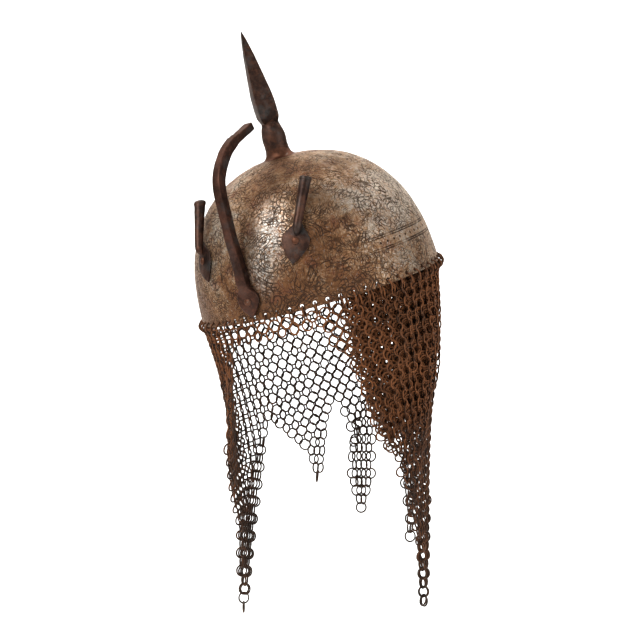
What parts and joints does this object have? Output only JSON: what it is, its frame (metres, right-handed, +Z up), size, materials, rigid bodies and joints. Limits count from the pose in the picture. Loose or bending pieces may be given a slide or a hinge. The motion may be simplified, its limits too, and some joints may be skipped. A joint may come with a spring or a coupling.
{
  "type": "battle helmet",
  "caption": "Engraved domed iron helmet with a spike, a curved front bar, plume tubes and a ring-mail curtain in ragged points, open over the face.",
  "frame": {"origin": "middle of the bowl's rim, where the helmet sits on a head", "axes": "+Z up along a standing wearer, -Y towards the front of the helmet, +X towards the wearer's left"},
  "size_m": [0.2006, 0.2229, 0.4712],
  "materials": {
    "bowl_iron": "worn and browned, engraved",
    "dark_iron": "dark brown patina",
    "red_iron": "reddish brown patina",
    "mail_iron": "rust brown, worn bright on the rings"
  },
  "bodies": {
    "root": {"bowl": "bowl_iron", "spike": "dark_iron", "front_bar": "red_iron", "front_bar_rivet": "dark_iron", "plume_holder_left": "dark_iron", "plume_holder_right": "dark_iron", "plume_holder_rivet_left": "dark_iron", "plume_holder_rivet_right": "dark_iron", "mail_curtain": "mail_iron"}
  },
  "joints": []
}
